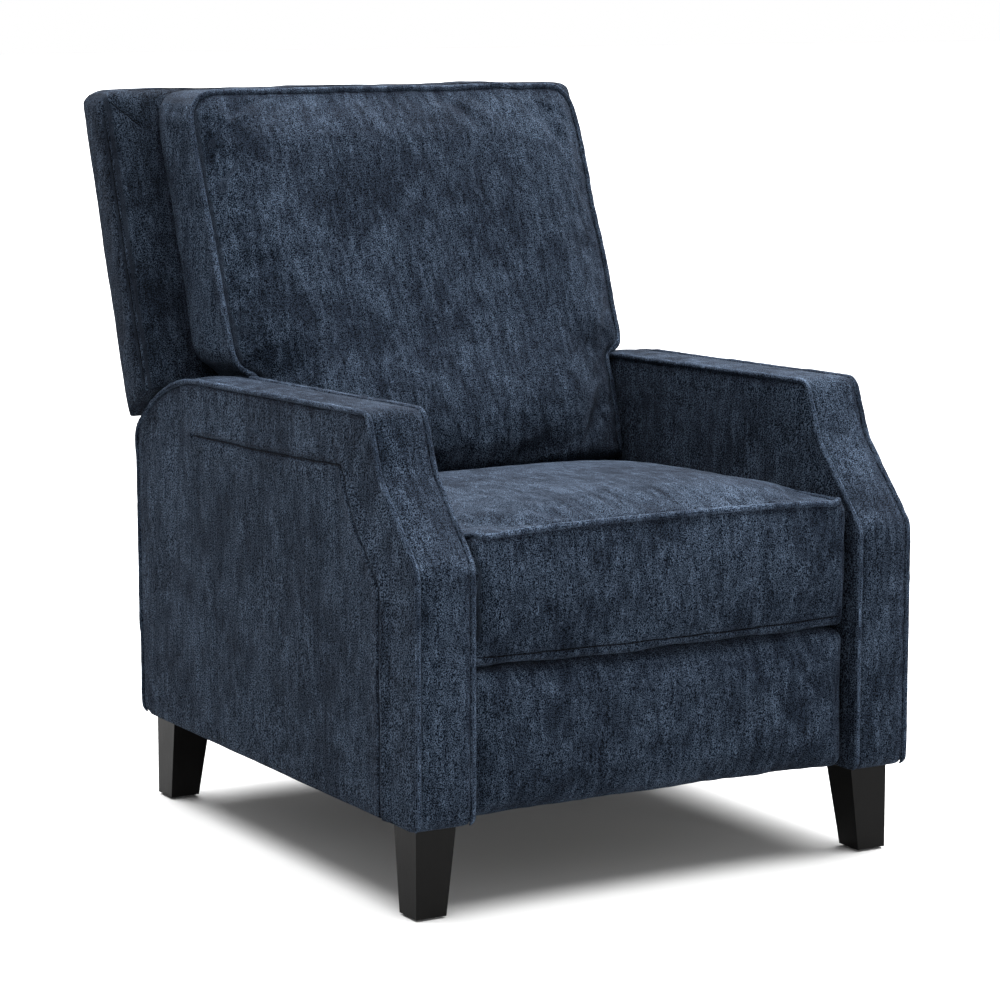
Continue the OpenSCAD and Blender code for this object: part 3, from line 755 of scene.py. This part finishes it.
def back_slab():
    """Wide upholstered back: rounded edges, mitred corner seams, and its upright foot."""
    lean_foot, lean_front = on_back(0, -40), on_back(-BACK_T, -40)
    top_rear, top_front = on_back(0, back_s(0, TOTAL_H + 5)), on_back(-BACK_T, back_s(-BACK_T, TOTAL_H + 5))
    lean = rounded([(*lean_front, 0), (*top_front, 26), (*top_rear, 32), (*lean_foot, 0)])
    obj = prism("back_slab_fabric", lean, -BACK_X - 4, BACK_X + 4, "x")
    front = rounded([(-BACK_X - 4, 200, 0), (-BACK_X - 4, TOTAL_H + 6, 30), (BACK_X + 4, TOTAL_H + 6, 30),
                     (BACK_X + 4, 200, 0)])
    boolean(obj, prism("cutter", front, 100, 600, "y"), "INTERSECT")
    clear_of_arms(obj, WING_ARC_R + 2, FOOT_X)
    stem_front = on_back(-BACK_T, 30)[0]
    stem = rounded([(stem_front, FOOT_LOW, 8), (*on_back(-BACK_T, 30), 0), (*on_back(-6, 30), 0),
                    (BACK_FOOT[0] - 1, BACK_FOOT[1], 10), (BACK_FOOT[0] - 1, FOOT_LOW, 8)])
    boolean(obj, prism("stem", stem, -FOOT_X, FOOT_X, "x"), "UNION")
    obj = remeshed(obj, 5.5)
    set_points(obj, soften_slab(points_of(obj)))
    obj = smoothed(obj, 9)
    pts, nor = points_of(obj), normals_of(obj)
    side_edge = np.clip((BACK_X - np.abs(pts[:, 0])) / 60, 0, 1)
    rear = np.clip((nor[:, 1] - 0.5) * 2, 0, 1)
    pts += nor * (rear * 5 * side_edge)[:, None]
    pts += nor * (1.1 * ripple(pts, 150, 31) + 0.5 * ripple(pts, 55, 32))[:, None]
    set_points(obj, pts)
    obj = subdivided(obj)
    pts, nor = points_of(obj), normals_of(obj)
    for k, seam in enumerate(slab_seams()):
        pts = seam_relief(pts, nor, seam, 1.8, 3.0, 0.9, 26, seed=33 + k)
    set_points(obj, pts)
    for k, seam in enumerate(slab_seams()):
        thread = tube(f"back_slab_seam_{k}", lay_on(seam, obj, 0.1), 1.0, sides=6, wobble=0.12)
        dress(thread, SHADED_SEAM_THREAD, "back")
    # The slab wears the darker chenille copy, painted shade for where the cushion shadows it.
    dress(obj, SHADED_BACK_FABRIC, "back", ["back_outer_pad", "back_lining_pad"])


def lean_of(pts):
    """Places of points across (n) and up (s) the leaning back."""
    c, q = math.cos(LEAN), math.sin(LEAN)
    y, z = pts[:, 1] - BACK_FOOT[0], pts[:, 2] - BACK_FOOT[1]
    return y * c - z * q, y * q + z * c


def soften_slab(pts):
    """Rolls the slab's vertical edges over, as thick padding does."""
    x, (n, s) = pts[:, 0].copy(), lean_of(pts)

    def rolled(u, v, r):
        length = np.hypot(u, v)
        k = np.where((u > 0) & (v > 0) & (length > r), r / np.maximum(length, 1e-6), 1.0)
        return u * k, v * k

    for sign, face, r in ((-1, -BACK_T, 34.0), (1, 0.0, 26.0)):
        edge, skin = BACK_X + 4 - r, face - sign * r
        u, v = rolled(np.abs(x) - edge, (n - skin) * sign, r)
        wing = s > 40
        x = np.where(wing, np.sign(x) * (edge + u), x)
        n = np.where(wing, skin + sign * v, n)
    c, q = math.cos(LEAN), math.sin(LEAN)
    return np.column_stack([x, BACK_FOOT[0] + n * c + s * q, BACK_FOOT[1] - n * q + s * c])


def slab_seams():
    """Seams of the slab: down each side near its front edge, over the top, and a mitre at each corner."""
    near = -BACK_T + 16
    out = []
    for sx in (1, -1):
        x = sx * (BACK_X - 3)
        side = [(x, *on_back(near, s)) for s in np.linspace(30, back_s(near, TOTAL_H - 34), 60)]
        out.append(np.array(side))
        face = -BACK_T
        mitre = [(sx * (BACK_X - 6 - 46 * t), *(on_back(face, back_s(face, TOTAL_H - 8 - 40 * t)))) for t in
                 np.linspace(0, 1, 20)]
        out.append(np.array(mitre))
    z = back_s(near, TOTAL_H)
    top = [(x, on_back(near, z)[0], TOTAL_H - 1) for x in np.linspace(-BACK_X + 45, BACK_X - 45, 120)]
    out.append(np.array(top))
    return out


CUSHION_LOW = 480.0                     # the cushion's foot, tucked down behind the seat's crown
WELT_LINE = [(480, 102), (500, 108), (560, 121), (610, 142), (650, 162), (693, 180), (850, 242), (960, 287),
             (1012, 307)]               # (height, side-view y) of the cushion's front seam


def welt_y(z):
    """Side-view y of the back cushion's front seam at height z."""
    return smooth_curve(WELT_LINE, np.asarray(z, float))


def cushion_front_outline(grow=0.0):
    """Front-view outline of the back cushion: broad above the arms, narrow between them."""
    wide, narrow = CUSHION_X - 5 + grow, STEM_X - 1.5 + grow
    top, low = 1017 + grow, CUSHION_LOW
    right = [(narrow, low, 6), (narrow, 618, 16), (wide, 648 - grow, 30), (wide, top, 42)]
    return rounded(right + [(-x, z, r) for x, z, r in right[::-1]])


def back_cushion():
    """T-shaped back cushion: boxed sides, a deep crown and piping round its front edge."""
    heights = np.linspace(CUSHION_LOW, 1020, 60)
    front = [(welt_y(z) + 2, z) for z in heights]
    rear = [(on_back(-BACK_T, back_s(-BACK_T, z))[0] - 1, z) for z in (1020, CUSHION_LOW)]
    obj = prism("back_cushion_fabric", np.array(front + rear, float), -CUSHION_X, CUSHION_X, "x")
    boolean(obj, prism("cutter", cushion_front_outline(2.0), 0, 600, "y"), "INTERSECT")
    clear_of_arms(obj, WING_ARC_R + 2, STEM_X)
    obj = remeshed(obj, 6.0)
    pts, nor = points_of(obj), normals_of(obj)
    seam = cushion_welt(0.0)
    d, _ = near_path(pts, seam)
    held = np.clip((15 - d) / 6, 0, 1)
    rear_gap = rear_distance(pts)
    held = np.maximum(held, np.clip(1 - (rear_gap - 4) / 6, 0, 1))
    held = np.maximum(held, (pts[:, 2] < CUSHION_LOW + 5).astype(float))
    boxing = nor[:, 1] > -0.6
    held = np.maximum(held, np.where(boxing, 0.8, 0))
    face = np.clip((-nor[:, 1] - 0.5) * 3, 0, 1) * np.clip(d / 85, 0, 1) ** 0.6
    low = np.clip((640 - pts[:, 2]) / 130, 0, 1) * np.clip((pts[:, 2] - CUSHION_LOW) / 30, 0, 1)
    pts += nor * (face * (30 + 12 * low))[:, None]
    pts[:, 0] += np.where(boxing & (pts[:, 2] < 985), np.sign(pts[:, 0]) * 3 * np.sin(
        np.clip(rear_gap / 100, 0, 1) * math.pi), 0)
    set_points(obj, pts)
    simulate(obj, held, pressure=2.0, cap=10.0, slack=0.03)
    obj = subdivided(smoothed(obj, 2))
    pts, nor = points_of(obj), normals_of(obj)
    pts += nor * (1.0 * ripple(pts, 120, 41) + 0.5 * ripple(pts, 46, 42))[:, None]
    pts = seam_relief(pts, nor, seam, 1.2, 3.8, 1.2, 32, seed=43)
    set_points(obj, pts)
    welt = tube("back_cushion_piping", lay_on(cushion_welt(1.4), obj, 3.2), 4.2, wobble=0.3, seed=6)
    dress(welt, HIGHLIGHTED_WELT, "back", ["back_piping"])
    dress(obj, FABRIC, "back", ["back_cushion"])


def cushion_welt(out):
    """Path of the piping round the back cushion's front edge, open at its foot."""
    flat = resampled(cushion_front_outline(out), 3.0, closed=True)
    keep = flat[:, 1] > CUSHION_LOW + 3
    first = int(np.argmax(keep & ~np.roll(keep, 1)))
    flat = np.roll(flat, -first, 0)[np.roll(keep, -first)]
    return np.column_stack([flat[:, 0], welt_y(flat[:, 1]) + 1 - out * 0.6, flat[:, 1]])


def rear_distance(pts):
    """How far a point lies in front of the back's lining."""
    c, q = math.cos(LEAN), math.sin(LEAN)
    n = (pts[:, 1] - BACK_FOOT[0]) * c - (pts[:, 2] - BACK_FOOT[1]) * q
    return -BACK_T - n


# ---- footrest and rear ----

def footrest_pad():
    """Plain padded panel below the seat."""
    y0, y1 = pad_low[1] - Y0, box_mm("footrest_board")[1][1] - Y0 - 0.5
    outline = rounded([(y1, pad_low[2] - 1, 4), (y0 + 5, pad_low[2] - 1, 20), (y0 + 5, pad_high[2] + 1, 18),
                       (y1, pad_high[2] + 1, 4)])
    obj = prism("footrest_pad_fabric", outline, pad_low[0] + 1, pad_high[0] - 1, "x")
    front = rounded([(pad_low[0] + 1, pad_low[2] - 1, 9), (pad_low[0] + 1, pad_high[2] + 1, 9),
                     (pad_high[0] - 1, pad_high[2] + 1, 9), (pad_high[0] - 1, pad_low[2] - 1, 9)])
    boolean(obj, prism("cutter", front, y0 - 20, y1 + 20, "y"), "INTERSECT")
    obj = smoothed(remeshed(obj, 5.5), 5)
    pts, nor = points_of(obj), normals_of(obj)
    held = np.clip((pts[:, 1] - (pad_high[1] - Y0 - 14)) / 8, 0, 1)
    held = np.maximum(held, np.where(np.abs(nor[:, 0]) > 0.7, 0.8, 0))
    simulate(obj, held, pressure=3.0, cap=8.0, slack=0.01)
    obj = subdivided(smoothed(obj, 2))
    pts, nor = points_of(obj), normals_of(obj)
    pts += nor * (0.8 * ripple(pts, 110, 51) + 0.4 * ripple(pts, 40, 52))[:, None]
    set_points(obj, pts)
    dress(obj, FABRIC, "footrest", ["footrest_pad"])


def rear_panel():
    """Upholstered panel across the rear, between the arms."""
    low, high = box_mm("rear_panel")
    near, far, top = low[1] - Y0, high[1] - Y0, high[2] - 3     # the reclining back comes down behind it
    outline = rounded([(near, low[2], 2), (near, top, 11), (far, top, 5), (far, low[2], 6)])
    obj = prism("rear_panel_fabric", outline, low[0] + 0.5, high[0] - 0.5, "x")
    obj = subdivided(smoothed(remeshed(obj, 5.5), 2))
    pts, nor = points_of(obj), normals_of(obj)
    face = np.clip(nor[:, 1], 0, 1)
    pts += nor * (face * 3 * (1 - (pts[:, 0] / high[0]) ** 6) + 0.5 * ripple(pts, 70, 61))[:, None]
    set_points(obj, pts)
    dress(obj, FABRIC, "base", ["rear_panel"])


# ---- stage ----

def stage():
    """Pale floor, a camera and soft studio lights."""
    data = bpy.data.meshes.new("floor")
    s = 40.0
    data.from_pydata([(-s, -s, 0), (s, -s, 0), (s, s, 0), (-s, s, 0)], [], [(0, 1, 2, 3)])
    floor = link(bpy.data.objects.new("floor", data))
    paint = Nodes("floor_white")
    tone = paint.noise(paint.coords.outputs["Object"], 3.0)
    floor.data.materials.append(paint.set(
        Base_Color=paint.mix(tone, (0.27, 0.27, 0.27, 1), (0.28, 0.28, 0.28, 1)), Roughness=0.9))

    world = bpy.data.worlds.new("studio")
    world.use_nodes = True
    world.node_tree.nodes["Background"].inputs[0].default_value = (1, 1, 1, 1)
    world.node_tree.nodes["Background"].inputs[1].default_value = 1.0
    bpy.context.scene.world = world

    def area(name, at, target, size, power, colour=(1, 1, 1)):
        lamp = bpy.data.lights.new(name, "AREA")
        lamp.size, lamp.energy, lamp.color = size, power, colour
        obj = link(bpy.data.objects.new(name, lamp))
        obj.location = at
        obj.rotation_euler = (Vector(target) - Vector(at)).to_track_quat("-Z", "Y").to_euler()

    def sun(name, heading, height, strength, angle):
        lamp = bpy.data.lights.new(name, "SUN")
        lamp.energy, lamp.angle = strength, math.radians(angle)
        obj = link(bpy.data.objects.new(name, lamp))
        aim = Vector((math.sin(math.radians(heading)) * math.cos(math.radians(height)),
                      -math.cos(math.radians(heading)) * math.cos(math.radians(height)),
                      math.sin(math.radians(height))))
        obj.rotation_euler = aim.to_track_quat("Z", "Y").to_euler()

    sun("overhead_softbox", 135, 75, 26.0, 75)
    area("front_fill", (1.4, -4.3, 0.4), (0, 0, 0.3), 2.0, 205)

    camera = bpy.data.cameras.new("camera")
    camera.lens, camera.sensor_width = 121.6, 36.0
    obj = link(bpy.data.objects.new("camera", camera))
    obj.location = (-2.3489, -4.0857 + Y0 * MM, 1.1932)
    turn, tilt = math.radians(30.09), math.radians(8.95)
    forward = Vector((math.sin(turn) * math.cos(tilt), math.cos(turn) * math.cos(tilt), -math.sin(tilt)))
    obj.rotation_euler = forward.to_track_quat("-Z", "Y").to_euler()
    bpy.context.scene.camera = obj
    bpy.context.scene.view_settings.view_transform = "Standard"


stage()
dress_frame()
for side in (1, -1):
    arm(side)
    seat_side_cloth(side)
seat_cushion()
back_slab()
back_cushion()
footrest_pad()
rear_panel()
